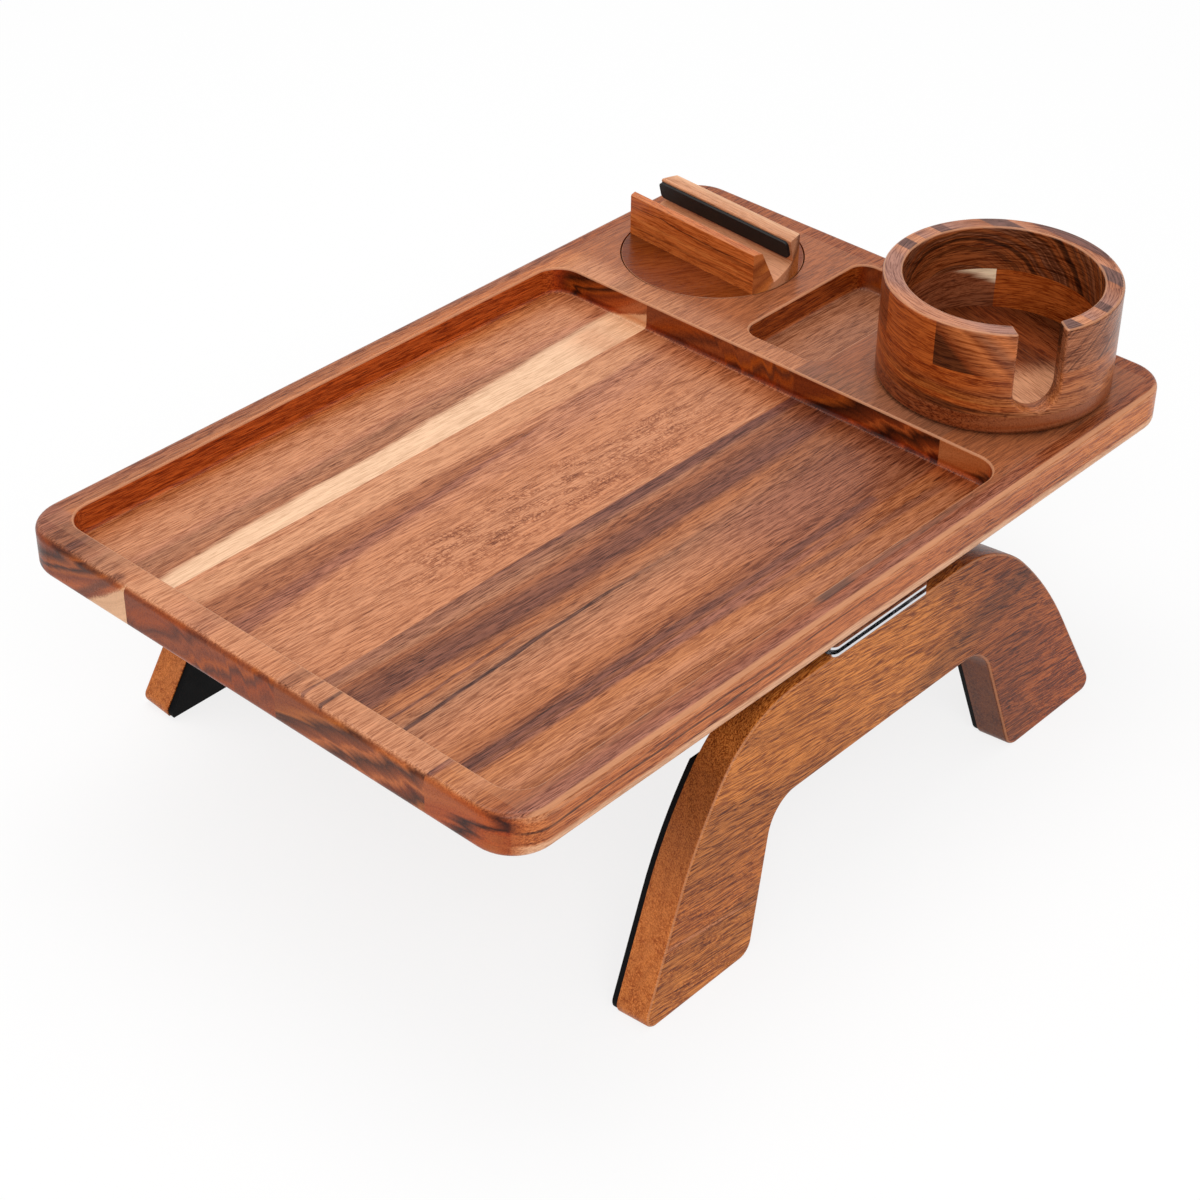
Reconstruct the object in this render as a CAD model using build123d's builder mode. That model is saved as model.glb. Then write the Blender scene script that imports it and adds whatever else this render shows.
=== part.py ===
from build123d import *
import math
import os

# A tray that clamps on a sofa arm: a glued board with a big and a small recess, a turning phone
# rest, a turning cup holder, and two arched jaws that fold in on butt hinges under the board.
# Lengths are in millimetres.  +X runs along the board to the cup and phone end, +Y to the far
# side and +Z up.  The origin is on the floor under the middle of the board.
os.makedirs("parts", exist_ok=True)

MM = 1.0
DEG = 1.0

# Board
board_length = 420.0 * MM
board_width = 280.0 * MM
board_thick = 20.0 * MM
board_corner_r = 19.0 * MM
board_top_round = 3.0 * MM
board_bottom_round = 3.5 * MM
floor_to_board = 114.5 * MM
far_stave_width = 68.0 * MM
near_stave_width = 45.0 * MM
inner_seam_share = 0.478

# Recesses in the board
end_rim = 14.0 * MM
side_rim = 11.5 * MM
divider = 12.0 * MM
recess_floor_thick = 7.0 * MM
recess_corner_r = 13.0 * MM
small_length = 88.0 * MM
small_end_rim = 12.5 * MM
small_span_share = (0.144, 0.809)
small_corner_r = 8.5 * MM
recess_cove_r = 2.0 * MM
rim_round = 1.2 * MM

# Turntable of the phone rest
phone_from_end = 54.9 * MM
phone_from_side = 58.4 * MM
disc_r = 43.2 * MM
disc_gap = 0.6 * MM
disc_thick = 11.0 * MM
disc_arris = 0.5 * MM
phone_turned = -4.0 * DEG

# Section of the phone rest, across its groove, from the turntable's middle and top
rest_front_x = 15.0 * MM
rest_back_x = 16.3 * MM
rest_height = 20.4 * MM
front_top_width = 4.1 * MM
front_lean = 24.0 * DEG
groove_low = 3.0 * MM
groove_rise = 24.0 * DEG
groove_width = 14.6 * MM
back_lean = 14.0 * DEG
groove_fillet_r = 1.6 * MM
rest_seam_x = 0.6 * MM
rest_arris = 0.8 * MM
strip_length = 84.0 * MM
strip_margin = 0.3 * MM
strip_thick = 1.5 * MM
strip_corner_r = 2.0 * MM
strip_shift = 1.2 * MM
strip_below_top = 1.4 * MM

# Cup holder
cup_from_end = 54.0 * MM
cup_from_side = 59.7 * MM
cup_outer_r = 52.0 * MM
cup_wall = 8.7 * MM
cup_base_thick = 9.0 * MM
cup_course_low = 19.2 * MM
cup_course_high = 21.0 * MM
cup_lip_round = 1.3 * MM
cup_foot_round = 2.5 * MM
cup_notch_width = 20.7 * MM
cup_notch_sill = 1.9 * MM
cup_notch_turn = -125.5 * DEG

# Pivots of the two turning holders
slip_thick = 0.8 * MM
slip_r = 14.0 * MM
pivot_r = 2.5 * MM
pivot_head_r = 4.6 * MM
pivot_head_thick = 2.6 * MM
pivot_washer_r = 5.4 * MM
pivot_washer_thick = 1.0 * MM
pivot_bore_r = 6.2 * MM
phone_pivot_depth = 4.2 * MM
cup_pivot_depth = 10.0 * MM
pivot_grip = 7.0 * MM
run_fit = 0.06 * MM

# Jaws
jaw_thick = 16.0 * MM
jaw_splay = 6.0 * DEG
jaw_middle_x = 2.0 * MM
jaw_flat_half = 54.0 * MM
jaw_shoulder_r = 62.0 * MM
jaw_shoulder_turn = 47.0 * DEG
jaw_flank_r = 190.0 * MM
jaw_flank_turn = 16.0 * DEG
arch_rise = 63.0 * MM
arch_slope = 73.0 * DEG
arch_foot_half = 89.4 * MM
arch_crotch_r = 18.0 * MM
foot_outer_r = 5.0 * MM
foot_inner_r = 8.0 * MM
jaw_arris = 1.5 * MM
pad_thick = 3.0 * MM
pad_inset = 0.6 * MM
pad_crown = 29.0 * MM

# Hinges
hinge_length = 63.0 * MM
hinge_reach = 14.2 * MM
hinge_drop = 3.0 * MM
leaf_thick = 1.2 * MM
leaf_corner_r = 3.5 * MM
knuckle_gap = 0.3 * MM
knuckle_shy = 0.2 * MM
hinge_screw_from_end = 11.5 * MM
hinge_screw_inset = 8.4 * MM
screw_r = 1.5 * MM
screw_length = 12.0 * MM
screw_cross = 0.6 * MM
KNUCKLES = 5

# Length by which a cutting solid runs past what it cuts
overrun = 5.0 * MM

# Places of the two holders, from the board's near and far right corners
phone_x = board_length / 2 - phone_from_end
phone_y = board_width / 2 - phone_from_side
cup_x = board_length / 2 - cup_from_end
cup_y = cup_from_side - board_width / 2

# The big recess takes the length that is left, the small one lies between the two holders
recess_length = board_length - end_rim - divider - small_length - small_end_rim
recess_middle = end_rim + (recess_length - board_length) / 2
small_middle = board_length / 2 - small_end_rim - small_length / 2
holder_near = cup_y + cup_outer_r
holder_space = phone_y - disc_r - disc_gap - holder_near
small_near, small_far = (holder_near + share * holder_space for share in small_span_share)
small_width = small_far - small_near

# Levels
board_top = floor_to_board + board_thick
recess_floor = floor_to_board + recess_floor_thick
pocket_floor = board_top - disc_thick - slip_thick
cup_bottom = board_top + slip_thick
cup_floor = cup_bottom + cup_base_thick
cup_seam = cup_floor + cup_course_low
cup_top = cup_seam + cup_course_high
cup_inner_r = cup_outer_r - cup_wall

# Jaw frame: the outer face of the near jaw leans in at the top by the splay
splay_sin = math.sin(math.radians(jaw_splay))
splay_cos = math.cos(math.radians(jaw_splay))
pin_z = floor_to_board - hinge_drop
jaw_top_z = pin_z + hinge_reach * splay_sin - hinge_drop * splay_cos
jaw_top_y = -board_width / 2
jaw_top = jaw_top_z / splay_cos
pin_y = jaw_top_y + hinge_reach * splay_cos + hinge_drop * splay_sin
jaw_foot_y = jaw_top_y - jaw_top_z * splay_sin / splay_cos
jaw_face = Plane(
    origin=(jaw_middle_x, jaw_foot_y, 0),
    x_dir=(1, 0, 0),
    z_dir=(0, -splay_cos, splay_sin),
)
pin_bore_r = hinge_drop - knuckle_shy - leaf_thick
pin_r = pin_bore_r - run_fit
screw_head_r = screw_r + leaf_thick
leaf_inner = hinge_drop - leaf_thick
hinge_screw_spread = hinge_length / 2 - hinge_screw_from_end


def cylinder_at(radius, low, high, x, y):
    """An upright cylinder between two levels."""
    with BuildPart() as solid:
        with BuildSketch(Plane.XY.offset(low)):
            with Locations((x, y)):
                Circle(radius)
        extrude(amount=high - low)
    return solid.part


def recess_tool(length, width, corner, middle_x, middle_y):
    """The hollow of one recess, with a cove round its floor."""
    with BuildPart() as tool:
        with BuildSketch(Plane.XY.offset(recess_floor)):
            with Locations((middle_x, middle_y)):
                RectangleRounded(length, width, corner)
        extrude(amount=board_top - recess_floor + overrun)
        fillet(tool.faces().sort_by(Axis.Z)[0].edges(), recess_cove_r)
    return tool.part


def wood_screw(place, room=0):
    """A countersunk screw whose head lies flush, its point along the place's +Z.

    With room it is the hole for that screw."""
    with BuildPart() as screw:
        with BuildSketch(Plane.XZ):
            with BuildLine():
                Polyline(
                    (0, 0),
                    (screw_head_r + room, 0),
                    (screw_r + room, leaf_thick),
                    (screw_r + room, screw_length - 2 * screw_r + room),
                    (0, screw_length + room),
                    close=True,
                )
            make_face()
        revolve(axis=Axis.Z)
        if not room:
            with BuildSketch(Plane.XY):
                Rectangle(screw_head_r, screw_cross)
                Rectangle(screw_cross, screw_head_r)
            extrude(amount=leaf_thick, mode=Mode.SUBTRACT)
    return screw.part.moved(place)


def screw_places(for_jaw):
    """Where the near hinge's screws start, on the inner face of one of its leaves."""
    places = []
    for side in (-1, 1):
        if for_jaw:
            turn = Location((jaw_middle_x, pin_y, pin_z), (-jaw_splay, 0, 0))
            place = turn * Location((side * hinge_screw_spread, -hinge_screw_inset, -leaf_inner), (180, 0, 0))
        else:
            turn = Location((jaw_middle_x, pin_y, pin_z))
            place = turn * Location((side * hinge_screw_spread, -hinge_screw_inset, leaf_inner))
        places.append(place)
    return places


# Board as one blank: rounded rectangle, arrises, two recesses, turntable pocket, pivot bores
with BuildPart() as board:
    with BuildSketch(Plane.XY.offset(floor_to_board)):
        RectangleRounded(board_length, board_width, board_corner_r)
    extrude(amount=board_thick)
    fillet(board.faces().sort_by(Axis.Z)[-1].edges(), board_top_round)
    fillet(board.faces().sort_by(Axis.Z)[0].edges(), board_bottom_round)
    add(
        recess_tool(recess_length, board_width - 2 * side_rim, recess_corner_r, recess_middle, 0),
        mode=Mode.SUBTRACT,
    )
    small_corner = min(small_corner_r, small_width / 3)
    small_centre = (small_near + small_far) / 2
    add(
        recess_tool(small_length, small_width, small_corner, small_middle, small_centre),
        mode=Mode.SUBTRACT,
    )
    rims = board.faces().sort_by(Axis.Z)[-1].inner_wires()
    fillet([edge for rim in rims for edge in rim.edges()], rim_round)
    add(
        cylinder_at(disc_r + disc_gap, pocket_floor, board_top + overrun, phone_x, phone_y),
        mode=Mode.SUBTRACT,
    )
    for x, y, depth in ((phone_x, phone_y, phone_pivot_depth), (cup_x, cup_y, cup_pivot_depth)):
        low = floor_to_board - overrun
        add(cylinder_at(pivot_bore_r, low, floor_to_board + depth, x, y), mode=Mode.SUBTRACT)
        add(cylinder_at(pivot_r + run_fit, low, board_top + overrun, x, y), mode=Mode.SUBTRACT)
    for place in screw_places(False):
        hole = wood_screw(place, run_fit)
        add(hole, mode=Mode.SUBTRACT)
        add(mirror(hole, about=Plane.XZ, mode=Mode.PRIVATE), mode=Mode.SUBTRACT)

# The blank is glued from four staves, parted here at their seams
far_seam = board_width / 2 - far_stave_width
near_seam = near_stave_width - board_width / 2
inner_seam = near_seam + inner_seam_share * (far_seam - near_seam)
stave_edges = (board_width, far_seam, inner_seam, near_seam, -board_width)
stave_names = (
    "board_far_stave",
    "board_inner_far_stave",
    "board_inner_near_stave",
    "board_near_stave",
)
for name, far_y, near_y in zip(stave_names, stave_edges[:-1], stave_edges[1:]):
    with BuildPart() as stave:
        add(board.part)
        split(bisect_by=Plane.XZ.offset(-far_y), keep=Keep.TOP)
        split(bisect_by=Plane.XZ.offset(-near_y), keep=Keep.BOTTOM)
    stave.part.label = name
    export_step(stave.part, "parts/" + name + ".step")

# Turntable, flush with the board's top
with BuildPart() as phone_turntable:
    with BuildSketch(Plane.XY.offset(pocket_floor + slip_thick)):
        with Locations((phone_x, phone_y)):
            Circle(disc_r)
    extrude(amount=disc_thick)
    fillet(phone_turntable.faces().sort_by(Axis.Z)[-1].edges(), disc_arris)
    add(
        cylinder_at(pivot_r + run_fit, pocket_floor, pocket_floor + slip_thick + pivot_grip, phone_x, phone_y),
        mode=Mode.SUBTRACT,
    )
phone_turntable.part.label = "phone_turntable"
export_step(phone_turntable.part, "parts/phone_turntable.step")

# Both parts of the phone rest are drawn across the groove and trimmed to the turntable's circle
rest_place = Location((phone_x, phone_y, board_top), (0, 0, phone_turned))
front_slope = math.tan(math.radians(front_lean))
back_slope = math.tan(math.radians(back_lean))
front_inner_x = -rest_front_x + front_top_width
low_x = front_inner_x + (rest_height - groove_low) * front_slope
heel_x = low_x + groove_width * math.cos(math.radians(groove_rise))
heel_z = groove_low + groove_width * math.sin(math.radians(groove_rise))
back_inner_x = heel_x - (rest_height - heel_z) * back_slope
seam_z = groove_low + (rest_seam_x - low_x) * math.tan(math.radians(groove_rise))


def rest_half(points, fillet_at):
    """One part of the phone rest, from its section, with its groove corner rounded."""
    with BuildPart() as half:
        with BuildSketch(Plane.XZ) as section:
            with BuildLine():
                Polyline(*points, close=True)
            make_face()
            if fillet_at:
                corner = section.vertices().sort_by_distance((fillet_at[0], fillet_at[1], 0))[0]
                fillet(corner, groove_fillet_r)
        extrude(amount=disc_r + overrun, both=True)
        ridges = half.edges().filter_by(Axis.Y).group_by(Axis.Z)[-1]
        fillet(ridges, rest_arris)
        with BuildSketch(Plane.XY.offset(-overrun)):
            Circle(disc_r)
        extrude(amount=rest_height + 2 * overrun, mode=Mode.INTERSECT)
    return half.part.moved(rest_place)


phone_rest_front = rest_half(
    (
        (-rest_front_x, 0),
        (-rest_front_x, rest_height),
        (front_inner_x, rest_height),
        (low_x, groove_low),
        (rest_seam_x, seam_z),
        (rest_seam_x, 0),
    ),
    None,
)
phone_rest_front.label = "phone_rest_front"
export_step(phone_rest_front, "parts/phone_rest_front.step")

phone_rest_back = rest_half(
    (
        (rest_seam_x, 0),
        (rest_seam_x, seam_z),
        (heel_x, heel_z),
        (back_inner_x, rest_height),
        (rest_back_x, rest_height),
        (rest_back_x, 0),
    ),
    (heel_x, heel_z),
)
phone_rest_back.label = "phone_rest_back"
export_step(phone_rest_back, "parts/phone_rest_back.step")

# Grip strip on the leaning face of the back part, between its top edge and the groove's fillet
lean_sin = math.sin(math.radians(back_lean))
lean_cos = math.cos(math.radians(back_lean))
heel_angle = math.radians(90 + groove_rise - back_lean)
strip_width = (rest_height - heel_z) / lean_cos - groove_fillet_r / math.tan(heel_angle / 2)
strip_width -= strip_below_top + strip_margin
strip_down = strip_below_top + strip_width / 2
strip_plane = Plane(
    origin=(back_inner_x + strip_down * lean_sin, strip_shift, rest_height - strip_down * lean_cos),
    x_dir=(0, 1, 0),
    z_dir=(-lean_cos, 0, -lean_sin),
)
with BuildPart() as phone_grip_strip:
    with BuildSketch(strip_plane):
        RectangleRounded(strip_length, strip_width, strip_corner_r)
    extrude(amount=strip_thick)
phone_grip_strip_part = phone_grip_strip.part.moved(rest_place)
phone_grip_strip_part.label = "phone_grip_strip"
export_step(phone_grip_strip_part, "parts/phone_grip_strip.step")


def slip_ring(low, x, y):
    """The thin plastic ring that a holder turns on."""
    with BuildPart() as ring:
        with BuildSketch(Plane.XY.offset(low)):
            with Locations((x, y)):
                Circle(slip_r)
                Circle(pivot_r + run_fit, mode=Mode.SUBTRACT)
        extrude(amount=slip_thick)
    return ring.part


def steel_washer(top, x, y):
    """The washer between a pivot's head and the wood above it."""
    with BuildPart() as ring:
        with BuildSketch(Plane.XY.offset(top - pivot_washer_thick)):
            with Locations((x, y)):
                Circle(pivot_washer_r)
                Circle(pivot_r + run_fit, mode=Mode.SUBTRACT)
        extrude(amount=pivot_washer_thick)
    return ring.part


def pivot_screw(head_top, tip, x, y):
    """The screw that a holder turns about, its head in the board's underside."""
    with BuildPart() as screw:
        with BuildSketch(Plane.XY.offset(head_top - pivot_head_thick)):
            with Locations((x, y)):
                Circle(pivot_head_r)
        extrude(amount=pivot_head_thick)
        fillet(screw.faces().sort_by(Axis.Z)[0].edges(), pivot_head_thick / 2)
        with BuildSketch(Plane.XY.offset(head_top)):
            with Locations((x, y)):
                Circle(pivot_r)
        extrude(amount=tip - head_top)
        with BuildSketch(Plane.XY.offset(head_top - pivot_head_thick)):
            with Locations((x, y)):
                Rectangle(pivot_head_r, screw_cross)
                Rectangle(screw_cross, pivot_head_r)
        extrude(amount=pivot_head_thick / 2, mode=Mode.SUBTRACT)
    return screw.part


for holder, x, y, depth, slip_low in (
    ("phone", phone_x, phone_y, phone_pivot_depth, pocket_floor),
    ("cup", cup_x, cup_y, cup_pivot_depth, board_top),
):
    washer_top = floor_to_board + depth
    ring = slip_ring(slip_low, x, y)
    ring.label = holder + "_slip_ring"
    export_step(ring, "parts/" + holder + "_slip_ring.step")
    washer = steel_washer(washer_top, x, y)
    washer.label = holder + "_pivot_washer"
    export_step(washer, "parts/" + holder + "_pivot_washer.step")
    pivot = pivot_screw(
        washer_top - pivot_washer_thick,
        slip_low + slip_thick + pivot_grip - run_fit,
        x,
        y,
    )
    pivot.label = holder + "_pivot_screw"
    export_step(pivot, "parts/" + holder + "_pivot_screw.step")

# Cup holder: a base, and two courses with the notch for a mug's handle
with BuildPart() as cup_base:
    with BuildSketch(Plane.XY.offset(cup_bottom)):
        with Locations((cup_x, cup_y)):
            Circle(cup_outer_r)
    extrude(amount=cup_base_thick)
    fillet(cup_base.faces().sort_by(Axis.Z)[0].edges(), cup_foot_round)
    add(
        cylinder_at(pivot_r + run_fit, cup_bottom - overrun, cup_bottom + pivot_grip, cup_x, cup_y),
        mode=Mode.SUBTRACT,
    )
cup_base.part.label = "cup_base"
export_step(cup_base.part, "parts/cup_base.step")

notch_r = cup_notch_width / 2
notch_plane = Plane(
    origin=(cup_x, cup_y, cup_floor + cup_notch_sill + notch_r),
    x_dir=(
        -math.sin(math.radians(cup_notch_turn)),
        math.cos(math.radians(cup_notch_turn)),
        0,
    ),
    z_dir=(
        math.cos(math.radians(cup_notch_turn)),
        math.sin(math.radians(cup_notch_turn)),
        0,
    ),
)
with BuildPart() as cup_notch:
    with BuildSketch(notch_plane):
        Circle(notch_r)
        with Locations((0, cup_outer_r)):
            Rectangle(cup_notch_width, 2 * cup_outer_r)
    extrude(amount=cup_outer_r + overrun)

# The wall is glued from two courses and rounded along its lip and its notch as one
with BuildPart() as cup_ring:
    with BuildSketch(Plane.XY.offset(cup_floor)):
        with Locations((cup_x, cup_y)):
            Circle(cup_outer_r)
            Circle(cup_inner_r, mode=Mode.SUBTRACT)
    extrude(amount=cup_top - cup_floor)
    add(cup_notch.part, mode=Mode.SUBTRACT)
    notch_faces = cup_ring.faces().sort_by_distance(
        notch_plane.origin + notch_plane.z_dir * (cup_inner_r + cup_wall / 2)
    )[:3]
    lip = cup_ring.faces().sort_by(Axis.Z)[-1].edges()
    fillet(ShapeList([*lip, *(edge for face in notch_faces for edge in face.edges())]), cup_lip_round)

for name, half in (("cup_lower_course", Keep.BOTTOM), ("cup_upper_course", Keep.TOP)):
    with BuildPart() as course:
        add(cup_ring.part)
        split(bisect_by=Plane.XY.offset(cup_seam), keep=half)
    course.part.label = name
    export_step(course.part, "parts/" + name + ".step")


def jaw_outline():
    """Half of the jaw's outer edge: flat crown, shoulder, flank, then a straight run to the foot."""
    crown = Line((0, jaw_top), (jaw_flat_half, jaw_top))
    shoulder = JernArc(crown @ 1, (1, 0), jaw_shoulder_r, -jaw_shoulder_turn)
    flank = JernArc(shoulder @ 1, shoulder % 1, jaw_flank_r, -jaw_flank_turn)
    fall = flank @ 1
    foot_half = fall.X + fall.Y / math.tan(math.radians(jaw_shoulder_turn + jaw_flank_turn))
    return crown, shoulder, flank, foot_half


def jaw_face_sketch(inset):
    """The whole face of a jaw, drawn in from its edges by the inset."""
    arch_top_half = arch_foot_half - arch_rise / math.tan(math.radians(arch_slope))
    with BuildSketch() as face:
        with BuildLine():
            crown, shoulder, flank, foot_half = jaw_outline()
            Polyline(flank @ 1, (foot_half, 0), (arch_foot_half, 0), (arch_top_half, arch_rise), (0, arch_rise))
            mirror(about=Plane.YZ)
        make_face()
        feet = face.vertices().group_by(Axis.Y)[0].sort_by(Axis.X)
        fillet([feet[0], feet[-1]], foot_outer_r)
        inner_feet = face.vertices().sort_by_distance((arch_foot_half, 0, 0))[0:1]
        inner_feet += face.vertices().sort_by_distance((-arch_foot_half, 0, 0))[0:1]
        fillet(inner_feet, foot_inner_r)
        crotches = face.vertices().sort_by_distance((arch_top_half, arch_rise, 0))[0:1]
        crotches += face.vertices().sort_by_distance((-arch_top_half, arch_rise, 0))[0:1]
        fillet(crotches, arch_crotch_r)
        if inset:
            offset(amount=-inset, mode=Mode.REPLACE)
    return face.sketch


arch_outline = jaw_face_sketch(0)
pad_outline = jaw_face_sketch(pad_inset)
with BuildPart() as arch_blank:
    add(arch_outline)
    extrude(amount=-jaw_thick)
    fillet(arch_blank.faces().sort_by(Axis.Z)[-1].edges(), jaw_arris)

with BuildPart() as near_arch:
    add(arch_blank.part.moved(jaw_face.location))
    split(bisect_by=Plane.XY, keep=Keep.TOP)
    for place in screw_places(True):
        add(wood_screw(place, run_fit), mode=Mode.SUBTRACT)

with BuildPart() as pad_blank:
    with BuildSketch(Plane.XY.offset(-jaw_thick)):
        add(pad_outline)
        with Locations((0, arch_rise + pad_crown)):
            Rectangle(board_length, board_width, align=(Align.CENTER, Align.MAX), mode=Mode.INTERSECT)
    extrude(amount=-pad_thick)

with BuildPart() as near_pad:
    add(pad_blank.part.moved(jaw_face.location))
    split(bisect_by=Plane.XY.offset(pad_inset), keep=Keep.TOP)

# Hinge leaves, drawn with the pin along X at the origin and the leaf towards -Y
knuckle_pitch = hinge_length / KNUCKLES
knuckle_r = hinge_drop - knuckle_shy


def knuckle_row(indices, radius, room):
    """Cylinders about the pin's axis at some of the knuckle places, longer by the room."""
    with BuildPart() as row:
        for index in indices:
            middle = (index + 0.5) * knuckle_pitch - hinge_length / 2
            with BuildSketch(Plane.YZ.offset(middle)):
                Circle(radius)
            extrude(amount=knuckle_pitch / 2 + room, both=True)
    return row.part


def hinge_leaf(up, own, other):
    """A leaf under the board when up is 1, or on the jaw when it is -1."""
    with BuildPart() as leaf:
        with BuildSketch(Plane.XY.offset(up * hinge_drop)):
            with Locations((0, -hinge_reach)):
                Rectangle(hinge_length, hinge_reach, align=(Align.CENTER, Align.MIN))
        extrude(amount=-up * leaf_thick)
        corners = leaf.edges().filter_by(Axis.Z).group_by(Axis.Y)[0]
        fillet(corners, leaf_corner_r)
        add(knuckle_row(own, knuckle_r, -knuckle_gap / 2))
        add(knuckle_row(other, knuckle_r + knuckle_gap, knuckle_gap / 2), mode=Mode.SUBTRACT)
        with BuildSketch(Plane.YZ.offset(-hinge_length)):
            Circle(pin_bore_r)
        extrude(amount=2 * hinge_length, mode=Mode.SUBTRACT)
        for side in (-1, 1):
            turn = (0, 0, 0) if up > 0 else (180, 0, 0)
            place = Location((side * hinge_screw_spread, -hinge_screw_inset, up * leaf_inner), turn)
            add(wood_screw(place, run_fit), mode=Mode.SUBTRACT)
    return leaf.part


end_knuckles = range(0, KNUCKLES, 2)
mid_knuckles = range(1, KNUCKLES, 2)
at_board = Location((jaw_middle_x, pin_y, pin_z))
at_jaw = Location((jaw_middle_x, pin_y, pin_z), (-jaw_splay, 0, 0))
with BuildPart() as hinge_pin:
    with BuildSketch(Plane.YZ.offset(-hinge_length / 2)):
        Circle(pin_r)
    extrude(amount=hinge_length)
    fillet(hinge_pin.faces().filter_by(Plane.YZ).edges(), pin_r / 2)

near_pieces = {
    "jaw_arch": near_arch.part,
    "jaw_pad": near_pad.part,
    "hinge_board_leaf": hinge_leaf(1, mid_knuckles, end_knuckles).moved(at_board),
    "hinge_jaw_leaf": hinge_leaf(-1, end_knuckles, mid_knuckles).moved(at_jaw),
    "hinge_pin": hinge_pin.part.moved(at_board),
}
for number, place in enumerate(screw_places(False), 1):
    near_pieces["board_screw_" + str(number)] = wood_screw(place)
for number, place in enumerate(screw_places(True), 1):
    near_pieces["jaw_screw_" + str(number)] = wood_screw(place)

for piece, shape in near_pieces.items():
    shape.label = "near_" + piece
    export_step(shape, "parts/near_" + piece + ".step")
    twin = mirror(shape, about=Plane.XZ)
    twin.label = "far_" + piece
    export_step(twin, "parts/far_" + piece + ".step")
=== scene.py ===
import math

import bmesh
import bpy
from mathutils import Matrix, Vector

# Looks of the sofa arm tray: oiled and lacquered acacia, foam rubber, bright plated hinges.
# Lengths in the materials are in millimetres, everything else is in metres.
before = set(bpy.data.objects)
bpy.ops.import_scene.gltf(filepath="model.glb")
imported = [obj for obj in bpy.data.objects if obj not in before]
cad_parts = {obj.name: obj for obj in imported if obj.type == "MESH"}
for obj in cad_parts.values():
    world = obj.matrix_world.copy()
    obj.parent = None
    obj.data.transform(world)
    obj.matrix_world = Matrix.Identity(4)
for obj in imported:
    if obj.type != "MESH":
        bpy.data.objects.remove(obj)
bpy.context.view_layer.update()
MILLIMETRE = 0.001
ORIGIN = (0.0, 0.0, 0.0)

# Camera and picture
CAMERA_PLACE = (-0.714344, -0.632753, 0.744669)
CAMERA_TARGET = (-0.088399, -0.068982, 0.1345)
CAMERA_ROLL = 0.779
CAMERA_LENS = 80.24
SENSOR_WIDTH = 36.0

# Floor and light
FLOOR_SIZE = 8.0
FLOOR_TONE = (0.90, 0.90, 0.90)
FLOOR_WHITE_SHARE = 0.81
SKY_TONE = (0.985, 0.985, 0.985)
SKY_STRENGTH = 0.62
LAMPS_TARGET = (0.0, 0.0, 0.1)

# Wood tones, without the sheen that the lacquer adds
TONES = {
    "pale cream": "#fbe2bf",
    "cream": "#e8bd99",
    "straw": "#cb8f69",
    "pale tan": "#c48560",
    "tan": "#bf7e58",
    "pink tan": "#bb7d5d",
    "orange tan": "#bd794c",
    "amber": "#bd6d3a",
    "light amber": "#d07c3d",
    "russet": "#954f28",
    "honey": "#ae6b41",
    "dull tan": "#a66f50",
    "mauve": "#a0705f",
    "dusk": "#6f4a40",
    "brown": "#9e5f3c",
    "grey brown": "#9b654b",
    "pink brown": "#9a604a",
    "red brown": "#8d4e2d",
    "umber": "#875035",
    "plum": "#704236",
    "dark plum": "#4f2d27",
    "golden": "#b0652c",
    "bright gold": "#bf652c",
    "old gold": "#bb7132",
    "tawny": "#a3602b",
    "deep gold": "#ad5722",
    "chestnut": "#833f1c",
    "burnt brown": "#7c3a10",
    "walnut": "#5a2d15",
    "black brown": "#3a1e12",
}


def tone(name):
    """A named tone, or a hex colour, as linear light."""
    code = TONES.get(name, name).lstrip("#")
    parts = [int(code[i : i + 2], 16) / 255 for i in (0, 2, 4)]
    linear = [c / 12.92 if c <= 0.04045 else ((c + 0.055) / 1.055) ** 2.4 for c in parts]
    return (*linear, 1.0)


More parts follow.
